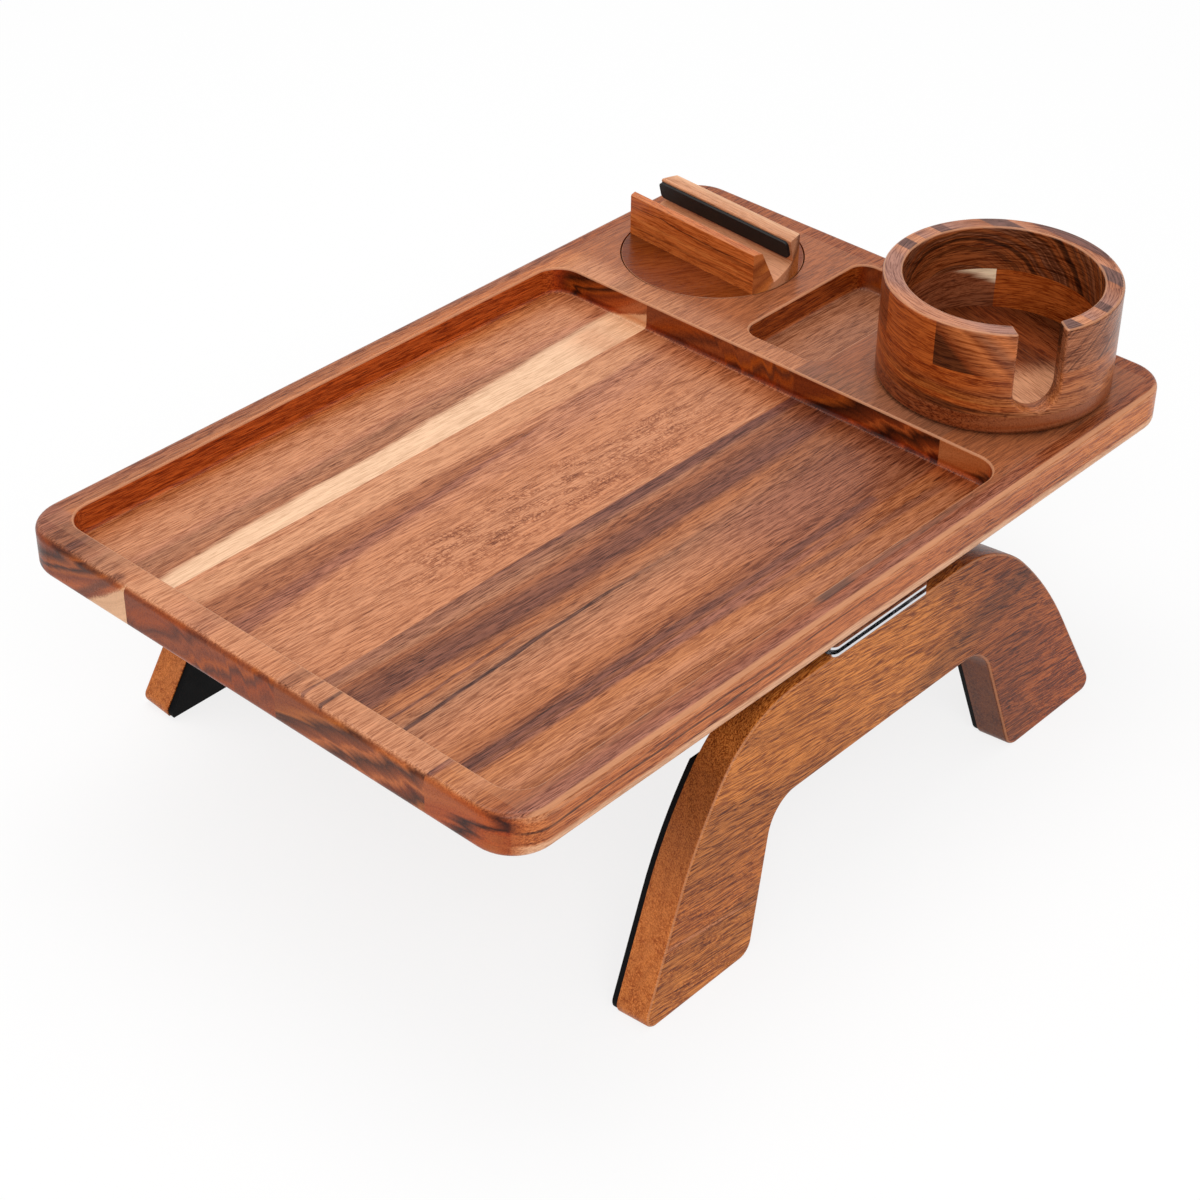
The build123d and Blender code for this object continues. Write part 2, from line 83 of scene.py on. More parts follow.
class Nodes:
    """Adds nodes to the tree of a material or a group. Values are numbers, tuples or sockets."""

    def __init__(self, tree):
        self.tree = tree

    def put(self, socket, value):
        if isinstance(value, bpy.types.NodeSocket):
            self.tree.links.new(value, socket)
        else:
            socket.default_value = value

    def add(self, kind, values=None, **settings):
        node = self.tree.nodes.new(kind)
        for name, setting in settings.items():
            setattr(node, name, setting)
        for key, value in (values or {}).items():
            self.put(node.inputs[key], value)
        return node

    def math(self, operation, first, second=0.0, third=0.0, clamp=False):
        node = self.add("ShaderNodeMath", operation=operation, use_clamp=clamp)
        for socket, value in zip(node.inputs, (first, second, third)):
            self.put(socket, value)
        return node.outputs[0]

    def plus(self, first, second):
        return self.math("ADD", first, second)

    def less(self, first, second):
        return self.math("SUBTRACT", first, second)

    def times(self, first, second):
        return self.math("MULTIPLY", first, second)

    def over(self, first, second):
        return self.math("DIVIDE", first, second)

    def line(self, value, slope, start):
        """A value times a slope, from a start."""
        return self.math("MULTIPLY_ADD", value, slope, start)

    def most(self, first, second):
        return self.math("MAXIMUM", first, second)

    def size(self, value):
        """A number without its sign."""
        return self.math("ABSOLUTE", value)

    def vector(self, operation, first, second):
        node = self.add("ShaderNodeVectorMath", {0: first, 1: second}, operation=operation)
        return node.outputs[0]

    def length(self, vector):
        return self.add("ShaderNodeVectorMath", {0: vector}, operation="LENGTH").outputs["Value"]

    def step(self, value, low, high, to_low=0.0, to_high=1.0):
        """A soft step from one value to another."""
        node = self.add("ShaderNodeMapRange", interpolation_type="SMOOTHSTEP")
        for socket, number in zip(node.inputs, (value, low, high, to_low, to_high)):
            self.put(socket, number)
        return node.outputs[0]

    def window(self, value, low, high, soft):
        """One between two values, zero outside them."""
        rise = self.step(value, low - soft / 2, low + soft / 2)
        fall = self.step(value, high + soft / 2, high - soft / 2)
        return self.times(rise, fall)

    def noise(self, place, detail=2.0, rough=0.5, flat=False):
        """Cloud noise in space, or along a line when the place is one number."""
        node = self.add(
            "ShaderNodeTexNoise",
            {"W" if flat else "Vector": place, "Scale": 1.0, "Detail": detail, "Roughness": rough},
            noise_dimensions="1D" if flat else "3D",
        )
        return node.outputs["Fac"]

    def mix(self, share, first, second):
        """Two colours mixed; the second may be the name of a tone."""
        second = tone(second) if isinstance(second, str) else second
        values = {0: share, 6: first, 7: second}
        return self.add("ShaderNodeMix", values, data_type="RGBA").outputs[2]

    def split(self, vector):
        return self.add("ShaderNodeSeparateXYZ", {0: vector}).outputs

    def join(self, x, y, z):
        return self.add("ShaderNodeCombineXYZ", {0: x, 1: y, 2: z}).outputs[0]

    def stretch(self, place, along, across, offset=0.0, stagger=0.73):
        """Place in cells that are longer along the grain than across it, in staggered rows."""
        x, y, z = self.split(place)
        row = self.over(y, across)
        layer = self.over(z, across)
        x = self.plus(self.over(x, along), offset)
        x = self.line(row, stagger, x)
        return self.join(self.line(layer, stagger, x), row, layer)

    def shift(self, value, weight):
        """How far a mask that sits about one half moves a tone."""
        return self.times(self.less(value, 0.5), weight)

    def palette(self, value, stops, sharp=False):
        """Tones laid out along a value, as (value, tone) from low to high."""
        low, high = stops[0][0], stops[-1][0]
        share = self.math("DIVIDE", self.less(value, low), high - low, clamp=True)
        node = self.add("ShaderNodeValToRGB", {0: share})
        node.color_ramp.interpolation = "CONSTANT" if sharp else "LINEAR"
        elements = node.color_ramp.elements
        for index, (place, shade) in enumerate(stops):
            position = (place - low) / (high - low)
            element = elements[index] if index < 2 else elements.new(position)
            element.position = position
            element.color = tone(shade)
        return node.outputs["Color"]

    def fill(self, node, **values):
        """Sets inputs of a node; underscores stand for the spaces in a socket's name."""
        for key, value in values.items():
            self.put(node.inputs[key.replace("_", " ")], value)

    def group(self, name, **values):
        """Places a shared group."""
        node = self.add("ShaderNodeGroup", node_tree=bpy.data.node_groups[name])
        self.fill(node, **values)
        return node.outputs

    def bump(self, height, strength, distance=0.0002):
        """Relief from a height that a distance in metres scales."""
        values = {"Strength": strength, "Distance": distance, "Height": height}
        return self.add("ShaderNodeBump", values).outputs[0]

    def uneven(self, colour, cloud, weight):
        """A plain colour that a cloud makes lighter and darker."""
        shade = self.plus(1.0, self.shift(cloud, weight))
        values = {"Value": shade, "Color": tone(colour)}
        return self.add("ShaderNodeHueSaturation", values).outputs[0]


def shared_group(name, inputs, outputs):
    """A new node group; inputs are (name, default), where a tuple makes a vector."""
    tree = bpy.data.node_groups.new(name, "ShaderNodeTree")
    for label, default in inputs:
        kind = "NodeSocketFloat"
        if isinstance(default, tuple):
            kind = "NodeSocketColor" if len(default) == 4 else "NodeSocketVector"
        socket = tree.interface.new_socket(name=label, in_out="INPUT", socket_type=kind)
        socket.default_value = default
    for label, kind in outputs:
        tree.interface.new_socket(name=label, in_out="OUTPUT", socket_type="NodeSocket" + kind)
    nodes = Nodes(tree)
    given = nodes.add("NodeGroupInput").outputs[: len(inputs)]
    result = nodes.add("NodeGroupOutput").inputs
    return nodes, given, result


# Inputs that several groups have, and a distance in millimetres beyond every piece
PLACE = ("Place", ORIGIN)
COLOUR = ("Colour", (0.5, 0.3, 0.2, 1.0))
BEYOND = 1000.0


def make_flow_group():
    """Lets the grain wander sideways, slowly along its length."""
    nodes, (place, wander, length, seed), result = shared_group(
        "Grain flow", (PLACE, ("Wander", 3.0), ("Length", 160.0), ("Seed", 0.0)),
        (("Place", "Vector"),),
    )
    across = nodes.times(length, 0.4)
    slow = nodes.stretch(place, length, across, seed)
    bend = nodes.add(
        "ShaderNodeTexNoise", {"Vector": slow, "Scale": 1.0, "Detail": 2.5, "Roughness": 0.5}
    ).outputs["Color"]
    centred = nodes.vector("SUBTRACT", bend, (0.5, 0.5, 0.5))
    amount = nodes.join(0.0, wander, wander)
    moved = nodes.vector("MULTIPLY", centred, amount)
    nodes.put(result["Place"], nodes.vector("ADD", place, moved))


def make_growth_group():
    """Growth rings about a pith: broad bands of heartwood and the fine lines in them."""
    nodes, given, result = shared_group(
        "Growth rings",
        (
            PLACE, ("Pith Y", 0.0), ("Pith Z", -60.0), ("Taper", 0.0), ("Broad", 14.0),
            ("Fine", 2.4), ("Seed", 0.0),
        ),
        (("Bands", "Float"), ("Lines", "Float")),
    )
    place, pith_y, pith_z, taper, broad, fine, seed = given
    x, y, z = nodes.split(place)
    radius = nodes.length(nodes.join(0.0, nodes.less(y, pith_y), nodes.less(z, pith_z)))
    radius = nodes.line(x, taper, radius)
    for label, pitch, rough in (("Bands", broad, 0.55), ("Lines", fine, 0.6)):
        rings = nodes.noise(nodes.plus(nodes.over(radius, pitch), seed), 2.0, rough, flat=True)
        nodes.put(result[label], nodes.step(rings, 0.25, 0.75))


def make_fibre_group():
    """Thin streaks that run with the grain."""
    nodes, (place, length, width, seed), result = shared_group(
        "Fibres", (PLACE, ("Length", 9.0), ("Width", 0.9), ("Seed", 0.0)), (("Fibres", "Float"),)
    )
    short = nodes.noise(nodes.stretch(place, length, width, seed), 3.0, 0.72)
    length = nodes.times(length, 7.0)
    long = nodes.noise(nodes.stretch(place, length, nodes.times(width, 1.5), seed), 2.0)
    both = nodes.line(short, 0.82, nodes.times(long, 0.18))
    coarse = nodes.times(width, 1.7)
    rows = nodes.noise(nodes.stretch(place, nodes.times(length, 0.3), coarse, seed))
    veins = nodes.step(nodes.size(nodes.less(rows, 0.5)), 0.08, 0.02)
    fibres = nodes.line(veins, -0.55, nodes.step(both, 0.36, 0.62))
    nodes.put(result["Fibres"], nodes.most(fibres, -0.3))


def make_pore_group():
    """Open pores: short dark dashes along the grain, dots where it is cut across."""
    nodes, (place, length, width, cover), result = shared_group(
        "Pores", (PLACE, ("Length", 10.0), ("Width", 1.0), ("Cover", 0.3)), (("Pores", "Float"),)
    )
    cells = nodes.stretch(place, length, width)
    near = nodes.add("ShaderNodeTexVoronoi", {"Vector": cells, "Scale": 1.0}).outputs["Distance"]
    crowd = nodes.noise(nodes.stretch(place, 60.0, 9.0))
    cover = nodes.times(cover, nodes.step(crowd, 0.35, 0.65, 0.3, 1.15))
    core = nodes.times(cover, 0.5)
    nodes.put(result["Pores"], nodes.step(near, cover, core))


def make_curl_group():
    """Curl across the grain, as a net of thin dark lines that comes and goes."""
    nodes, (place, pitch, reach, seed), result = shared_group(
        "Curl", (PLACE, ("Pitch", 5.0), ("Reach", 16.0), ("Seed", 0.0)), (("Curl", "Float"),)
    )
    bend = nodes.noise(nodes.stretch(place, 5.0, 3.0, seed))
    bent = nodes.vector("ADD", place, nodes.join(nodes.shift(bend, 5.0), 0.0, 0.0))
    cells = nodes.stretch(bent, pitch, reach, seed, 0.12)
    wave = nodes.noise(cells, 1.5, 0.6)
    net = nodes.step(nodes.size(nodes.less(wave, 0.5)), 0.085, 0.03)
    crowd = nodes.step(nodes.noise(nodes.stretch(place, 16.0, 7.0, seed)), 0.38, 0.6)
    nodes.put(result["Curl"], nodes.line(nodes.times(crowd, net), -0.5, 0.5))


def make_streak_group():
    """A sheet of another tone that follows the grain; it may widen, lean and fade."""
    nodes, given, result = shared_group(
        "Streak",
        (
            PLACE, ("Start", 0.0), ("Slope", 0.0), ("Lean", 0.0), ("Width", 6.0), ("Widening", 0.0),
            ("Soft", 0.6), ("Wobble", 2.0), ("Begin", -BEYOND), ("End", BEYOND), ("Fade", 30.0),
            ("Seed", 0.0),
        ),
        (("Mask", "Float"),),
    )
    place, start, slope, lean, width, widening, soft, wobble, begin, end, fade, seed = given
    x, y, z = nodes.split(place)
    line = nodes.line(x, slope, start)
    line = nodes.line(z, lean, line)
    uneven = nodes.noise(nodes.stretch(place, 45.0, 25.0, seed), 3.0, 0.55)
    line = nodes.plus(line, nodes.shift(uneven, wobble))
    off = nodes.size(nodes.less(y, line))
    ragged = nodes.noise(nodes.stretch(place, 25.0, 0.9, seed))
    half = nodes.line(x, widening, width)
    off = nodes.plus(off, nodes.shift(ragged, nodes.times(half, soft)))
    half = nodes.most(half, 0.02)
    hard = nodes.times(half, nodes.less(1.0, soft))
    across = nodes.step(off, half, hard)
    along = nodes.times(
        nodes.step(x, begin, nodes.plus(begin, fade)), nodes.step(x, end, nodes.less(end, fade))
    )
    nodes.put(result["Mask"], nodes.times(across, along))


def make_depth_group():
    """Deepens a wood tone by its grain, curl and pores, as oil does."""
    nodes, (colour, *given), result = shared_group(
        "Grain depth",
        (
            COLOUR, ("Bands", 0.5), ("Lines", 0.5), ("Fibres", 0.5), ("Curl", 0.5), ("Pores", 0.0),
            ("Bands Weight", 0.2), ("Lines Weight", 0.2), ("Fibres Weight", 0.2),
            ("Curl Weight", 0.1), ("Pores Weight", 0.5),
        ),
        (("Colour", "Color"),),
    )
    masks, weights = given[:5], given[5:]
    depth = 1.0
    for mask, weight in zip(masks[:-1], weights[:-1]):
        depth = nodes.less(depth, nodes.shift(mask, weight))
    depth = nodes.line(masks[-1], weights[-1], depth)
    darker = nodes.less(depth, 1.0)
    gamma = nodes.line(nodes.most(darker, 0.0), 0.45, 1.0)
    share = nodes.most(nodes.line(darker, -0.55, 1.03), 0.2)
    deepened = nodes.add("ShaderNodeGamma", {"Color": colour, "Gamma": gamma}).outputs[0]
    scaled = nodes.add("ShaderNodeVectorMath", {0: deepened, "Scale": share}, operation="SCALE")
    nodes.put(result["Colour"], scaled.outputs[0])


def make_deeper_group():
    """Deepens a wood tone where a mask is one: for end grain, and for the painted shade on the
    recess walls.
    """
    nodes, (colour, mask, depth), result = shared_group(
        "Deeper", (COLOUR, ("Mask", 0.0), ("Depth", 1.5)), (("Colour", "Color"),)
    )
    depth = nodes.line(mask, nodes.less(depth, 1.0), 1.0)
    deeper = nodes.add("ShaderNodeGamma", {"Color": colour, "Gamma": depth})
    nodes.put(result["Colour"], deeper.outputs[0])


def make_lacquer_group():
    """Roughness and relief of lacquered wood over its fibres and pores."""
    nodes, (place, pores, fibres, base), result = shared_group(
        "Lacquer", (PLACE, ("Pores", 0.0), ("Fibres", 0.5), ("Base", 0.34)),
        (("Roughness", "Float"), ("Height", "Float")),
    )
    smear = nodes.noise(nodes.stretch(place, 50.0, 20.0), 3.0)
    rough = nodes.plus(base, nodes.shift(smear, 0.16))
    rough = nodes.line(pores, 0.18, rough)
    nodes.put(result["Roughness"], nodes.plus(rough, nodes.shift(fibres, 0.05)))
    orange_peel = nodes.noise(nodes.stretch(place, 4.0, 3.0))
    height = nodes.line(pores, -0.8, nodes.times(fibres, 0.25))
    nodes.put(result["Height"], nodes.line(orange_peel, 0.5, height))


def make_wall_group():
    """Unrolls a round wall: place along its length, up its height and through its thickness."""
    nodes, (place, radius, cut_angle), result = shared_group(
        "Round wall", (PLACE, ("Radius", 50.0), ("Cut Angle", 0.0)),
        (("Place", "Vector"), ("Angle", "Float")),
    )
    x, y, z = nodes.split(place)
    depth = nodes.length(nodes.join(x, y, 0.0))
    angle = nodes.times(nodes.math("ARCTAN2", y, x), 180.0 / math.pi)
    angle = nodes.math("FLOORED_MODULO", nodes.less(angle, cut_angle), 360.0)
    along = nodes.times(nodes.times(angle, math.pi / 180.0), radius)
    nodes.put(result["Place"], nodes.join(along, z, depth))
    nodes.put(result["Angle"], angle)


for make_group in (
    make_flow_group, make_growth_group, make_fibre_group, make_pore_group, make_curl_group,
    make_streak_group, make_depth_group, make_deeper_group, make_lacquer_group, make_wall_group,
):
    make_group()


def new_material(name):
    """A material with only its shader, which is wired to the surface."""
    material = bpy.data.materials.new(name)
    material.use_nodes = True
    material.node_tree.nodes.clear()
    nodes = Nodes(material.node_tree)
    shader = nodes.add("ShaderNodeBsdfPrincipled")
    output = nodes.add("ShaderNodeOutputMaterial")
    nodes.put(output.inputs["Surface"], shader.outputs["BSDF"])
    return material, nodes, shader


def mapped(nodes, vector, turn, **values):
    """A vector in a space that is moved, turned in degrees and scaled."""
    angles = tuple(math.radians(angle) for angle in turn)
    values = {"Vector": vector, "Rotation": angles, **values}
    return nodes.add("ShaderNodeMapping", values, vector_type="TEXTURE").outputs[0]


def piece_space(nodes, middle=ORIGIN, turn=ORIGIN):
    """Places in millimetres from a middle given in metres, and the normal, both turned alike."""
    source = nodes.add("ShaderNodeTexCoord").outputs
    place = mapped(nodes, source["Object"], turn, Location=middle, Scale=(MILLIMETRE,) * 3)
    return place, mapped(nodes, source["Normal"], turn)


def extent(start, width, **more):
    """Where a streak lies, in millimetres, under the names of its group's inputs."""
    more = {key.capitalize(): value for key, value in more.items()}
    return dict(Start=start, Width=width, **more)


def streak(shade, strength, start, width, **more):
    """A streak's tone, its strength and where it lies."""
    return shade, strength, extent(start, width, **more)


# Along the board: the inner edge of the end rim, the start of the floor, that of the holders' end
END_RIM = -194.0
FLOOR_START = -197.0
HOLDER_END = 104.0
RECESS_ENDS = (-201.0, 200.0)
# Across the board: its long walls. Above the recess floor: the foot of a wall and its arris
LONG_WALL = 133.0
FLOOR_HEIGHTS = (4.0, 2.0)
ARRIS_HEIGHTS = (9.0, 10.5)
# Where painted shade darkens the floor toward the divider and toward the far wall
SHADE_AT_DIVIDER = (80.0, 99.0)
SHADE_AT_FAR_WALL = (117.0, 129.0)
# Streaks that take in the whole holders' end, and those that run down the near side face
AT_HOLDERS = dict(soft=0.1, begin=HOLDER_END, fade=14.0)
ON_SIDE = dict(lean=6.0, soft=0.6)


class Wood:
    """Lacquered wood. Its grain runs along X of its own turned space, in millimetres."""

    def __init__(self, name, seed, middle, turn=ORIGIN, slant=0.0, wander=3.0, run=160.0):
        self.seed = seed
        self.material, self.nodes, self.shader = new_material(name)
        self.place, self.normal = piece_space(self.nodes, middle, turn)
        self.lay(self.place, wander, run, slant)

    def lay(self, place, wander, run, slant=0.0):
        """Lays the grain along X of a place, with a slant in degrees."""
        if slant:
            place = mapped(self.nodes, place, (0.0, 0.0, slant))
        self.flow = self.nodes.group(
            "Grain flow", Place=place, Wander=wander, Length=run, Seed=self.seed
        )["Place"]
        self.fine_flow = self.nodes.group(
            "Grain flow", Place=self.flow, Wander=1.6, Length=24.0, Seed=self.seed
        )["Place"]

    def spread(self, stops, stir=0.0, broad=14.0, fine=2.4, pith=(0.0, -60.0), taper=0.0):
        """Tones across the grain, as (place, tone), stirred by the growth rings."""
        nodes = self.nodes
        self.rings = nodes.group(
            "Growth rings", Place=self.flow, Pith_Y=pith[0], Pith_Z=pith[1], Taper=taper,
            Broad=broad, Fine=fine, Seed=self.seed * 13.7,
        )
        across = nodes.split(self.flow)[1]
        across = nodes.plus(across, nodes.shift(self.rings["Bands"], stir))
        self.colour = nodes.palette(across, stops)

    def streaks(self, *items):
        """Lays streaks over the tones, the last one on top."""
        for index, (shade, strength, values) in enumerate(items):
            seed = self.seed + 3.1 * index
            mask = self.nodes.group("Streak", Place=self.flow, Seed=seed, **values)["Mask"]
            self.patch(mask, shade, strength)

    def patch(self, mask, shade, share=1.0):
        """Another wood where a mask is one: a tone by its name, or a colour."""
        if share != 1.0:
            mask = self.nodes.times(mask, share)
        self.colour = self.nodes.mix(mask, self.colour, shade)

    def tilt(self, axis):
        """How far a face looks along X, Y or Z, which are 0, 1 and 2."""
        return self.nodes.split(self.normal)[axis]

    def deepen(
        self, bands=0.1, lines=0.12, fibres=0.82, pores=0.75, dash=9.0, width=0.75, cut=0.3
    ):
        """Fine grain over the tones. It shows little on pale wood and on wood cut across."""
        nodes = self.nodes
        pale = nodes.add("ShaderNodeRGBToBW", {0: self.colour}).outputs[0]
        along = nodes.times(self.across(1.0, cut), nodes.step(pale, 0.12, 0.5, 1.12, 0.45))
        place = self.fine_flow
        self.fibres = nodes.group("Fibres", Place=place, Width=width, Seed=self.seed)["Fibres"]
        self.pores = nodes.group("Pores", Place=place, Length=dash, Width=width)["Pores"]
        self.colour = nodes.group(
            "Grain depth", Colour=self.colour, Bands=self.rings["Bands"], Lines=self.rings["Lines"],
            Fibres=self.fibres, Pores=self.pores, Bands_Weight=bands, Lines_Weight=lines,
            Fibres_Weight=nodes.times(along, fibres), Pores_Weight=nodes.times(along, pores),
        )["Colour"]

    def across(self, low=0.0, high=1.0):
        """High where the saw cut across the grain, low elsewhere."""
        return self.nodes.step(self.nodes.size(self.tilt(0)), 0.4, 0.9, low, high)

    def darken(self, mask, depth):
        values = dict(Mask=mask, Depth=depth)
        self.colour = self.nodes.group("Deeper", Colour=self.colour, **values)["Colour"]

    def cut_across(self, depth, end_wall_shade):
        """Darkens the faces cut across the grain, with a factor for those by the holders: painted
        shade on the recess's end wall.
        """
        x = self.nodes.split(self.place)[0]
        mask = self.nodes.times(self.across(), self.nodes.step(x, 60.0, 0.0, end_wall_shade, 1.0))
        self.darken(mask, depth)

    def ends(self, stops, lean):
        """Tones of the faces cut across the grain, laid out along lines that lean over."""
        nodes = self.nodes
        y, z = nodes.split(self.flow)[1:]
        value = nodes.plus(nodes.line(z, lean, y), nodes.shift(self.rings["Bands"], 14.0))
        self.patch(self.across(), nodes.palette(value, stops))

    def paint_arris_highlight(self, strength, low, high):
        """Painted highlight: rounded arrises are made paler."""
        self.patch(self.nodes.window(self.tilt(2), low, high, 0.1), "straw", strength)

    def paint_rim_highlight(self):
        """Painted highlight along the arris round the recess."""
        nodes = self.nodes
        x, y, z = nodes.split(self.place)
        mask = nodes.window(self.tilt(2), 0.3, 0.98, 0.1)
        mask = nodes.times(mask, nodes.step(z, *ARRIS_HEIGHTS))
        mask = nodes.times(mask, nodes.step(nodes.size(y), LONG_WALL, LONG_WALL - 1.0))
        mask = nodes.times(mask, nodes.window(x, *RECESS_ENDS, 1.0))
        self.patch(mask, "straw", 0.7)

    def paint_recess_shade(self):
        """Painted shade: darkens the long walls of the recess, and the floor at the walls' foot."""
        nodes = self.nodes
        x, y, z = nodes.split(self.place)
        steep = nodes.step(nodes.size(self.tilt(1)), 0.3, 0.8)
        steep = nodes.times(steep, nodes.step(nodes.size(y), LONG_WALL + 1.0, LONG_WALL))
        floor = nodes.step(z, *FLOOR_HEIGHTS)
        corner = nodes.times(nodes.step(x, *SHADE_AT_DIVIDER), floor)
        corner = nodes.times(corner, nodes.step(x, HOLDER_END, HOLDER_END - 1.0))
        foot = nodes.times(nodes.step(y, *SHADE_AT_FAR_WALL, 0.0, 0.5), floor)
        self.darken(nodes.most(nodes.most(corner, foot), steep), 1.25)

    def machine(self, depth, end_wall_shade):
        """Darker sawn ends, painted shade on the recess walls and floor, and a painted highlight on
        the arris round the recess.
        """
        self.cut_across(depth, end_wall_shade)
        self.paint_recess_shade()
        self.paint_rim_highlight()

    def ripple(self, weight, start, width, **more):
        """Curl across the grain in one part of the wood, laid out as a streak."""
        nodes = self.nodes
        values = extent(start, width, soft=0.7, **more)
        mask = nodes.group("Streak", Place=self.flow, **values)["Mask"]
        values = dict(Pitch=2.8, Reach=2.3, Seed=self.seed)
        waves = nodes.group("Curl", Place=self.fine_flow, **values)["Curl"]
        values = dict(Curl=waves, Curl_Weight=nodes.times(mask, weight))
        self.colour = nodes.group("Grain depth", Colour=self.colour, **values)["Colour"]

    def finish(self, rough=0.34):
        """Wires the tones and the lacquer to the shader."""
        nodes = self.nodes
        values = dict(Pores=self.pores, Fibres=self.fibres, Base=rough)
        lacquer = nodes.group("Lacquer", Place=self.flow, **values)
        nodes.fill(
            self.shader, Base_Color=self.colour, Roughness=lacquer["Roughness"],
            Normal=nodes.bump(lacquer["Height"], 0.35), Specular_IOR_Level=0.16, Coat_Weight=0.05,
            Coat_Roughness=0.14,
        )
        return self.material


def dress(material, *names):
    """Gives a material to some of the frame's nodes."""
    for name in names:
        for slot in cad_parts[name].material_slots:
            slot.material = material


def make_camera():
    """The camera at the place that the picture was taken from."""
    camera = bpy.data.objects.new("camera", bpy.data.cameras.new("camera"))
    bpy.context.scene.collection.objects.link(camera)
    back = (Vector(CAMERA_PLACE) - Vector(CAMERA_TARGET)).normalized()
    right = Vector((0.0, 0.0, 1.0)).cross(back).normalized()
    up = back.cross(right)
    roll = math.radians(CAMERA_ROLL)
    rolled_right = math.cos(roll) * right + math.sin(roll) * up
    rolled_up = math.cos(roll) * up - math.sin(roll) * right
    turned = Matrix((rolled_right, rolled_up, back)).transposed().to_4x4()
    camera.matrix_world = Matrix.Translation(CAMERA_PLACE) @ turned
    camera.data.lens = CAMERA_LENS
    camera.data.sensor_width = SENSOR_WIDTH
    bpy.context.scene.camera = camera


def make_floor():
    """A plain pale floor: white to the eye, with the tray's soft shadow on it."""
    mesh = bmesh.new()
    bmesh.ops.create_grid(mesh, x_segments=8, y_segments=8, size=FLOOR_SIZE / 2)
    data = bpy.data.meshes.new("floor")
    mesh.to_mesh(data)
    mesh.free()
    floor = bpy.data.objects.new("floor", data)
    bpy.context.scene.collection.objects.link(floor)
    material, nodes, shader = new_material("pale floor")
    output = next(node for node in nodes.tree.nodes if node.type == "OUTPUT_MATERIAL")
    nodes.fill(shader, Base_Color=(*FLOOR_TONE, 1.0), Roughness=0.9, Specular_IOR_Level=0.0)
    path = nodes.add("ShaderNodeLightPath").outputs
    seen = nodes.most(path["Is Camera Ray"], path["Is Glossy Ray"])
    share = nodes.times(seen, FLOOR_WHITE_SHARE)
    white = nodes.add("ShaderNodeEmission", {"Color": (1.0,) * 4, "Strength": 1.0}).outputs[0]
    values = {0: share, 1: shader.outputs["BSDF"], 2: white}
    nodes.put(output.inputs["Surface"], nodes.add("ShaderNodeMixShader", values).outputs[0])
    data.materials.append(material)


def make_sky():
    """Even studio light from all round, white where the eye or a gloss sees it."""
    world = bpy.data.worlds.new("studio")
    bpy.context.scene.world = world
    world.use_nodes = True
    world.node_tree.nodes.clear()
    nodes = Nodes(world.node_tree)
    path = nodes.add("ShaderNodeLightPath").outputs
    seen = nodes.most(path["Is Camera Ray"], path["Is Glossy Ray"])
    seen = nodes.most(seen, path["Is Transmission Ray"])
    strength = nodes.line(seen, 1.0 - SKY_STRENGTH, SKY_STRENGTH)
    sky = nodes.add("ShaderNodeBackground", {"Color": (*SKY_TONE, 1.0), "Strength": strength})
    output = nodes.add("ShaderNodeOutputWorld")
    nodes.put(output.inputs["Surface"], sky.outputs[0])


def make_softbox(name, place, width, height, watts):
    """A large soft lamp that looks at the tray."""
    lamp = bpy.data.lights.new(name, "AREA")
    lamp.shape = "RECTANGLE"
    lamp.size = width
    lamp.size_y = height
    lamp.energy = watts
    holder = bpy.data.objects.new(name, lamp)
    bpy.context.scene.collection.objects.link(holder)
    holder.location = place
    aim = Vector(LAMPS_TARGET) - Vector(place)
    holder.rotation_euler = aim.to_track_quat("-Z", "Y").to_euler()


make_camera()
make_floor()
make_sky()
make_softbox("key softbox", (-1.1, -1.3, 1.6), width=1.4, height=1.0, watts=18.0)
make_softbox("top softbox", (0.3, 0.5, 1.9), width=1.6, height=1.2, watts=16.0)

bpy.context.scene.view_settings.view_transform = "Standard"

# Board: four staves, from the far side to the near side. Heights are from the recess floor.
RECESS_FLOOR = (0.0, 0.0, 0.1215)


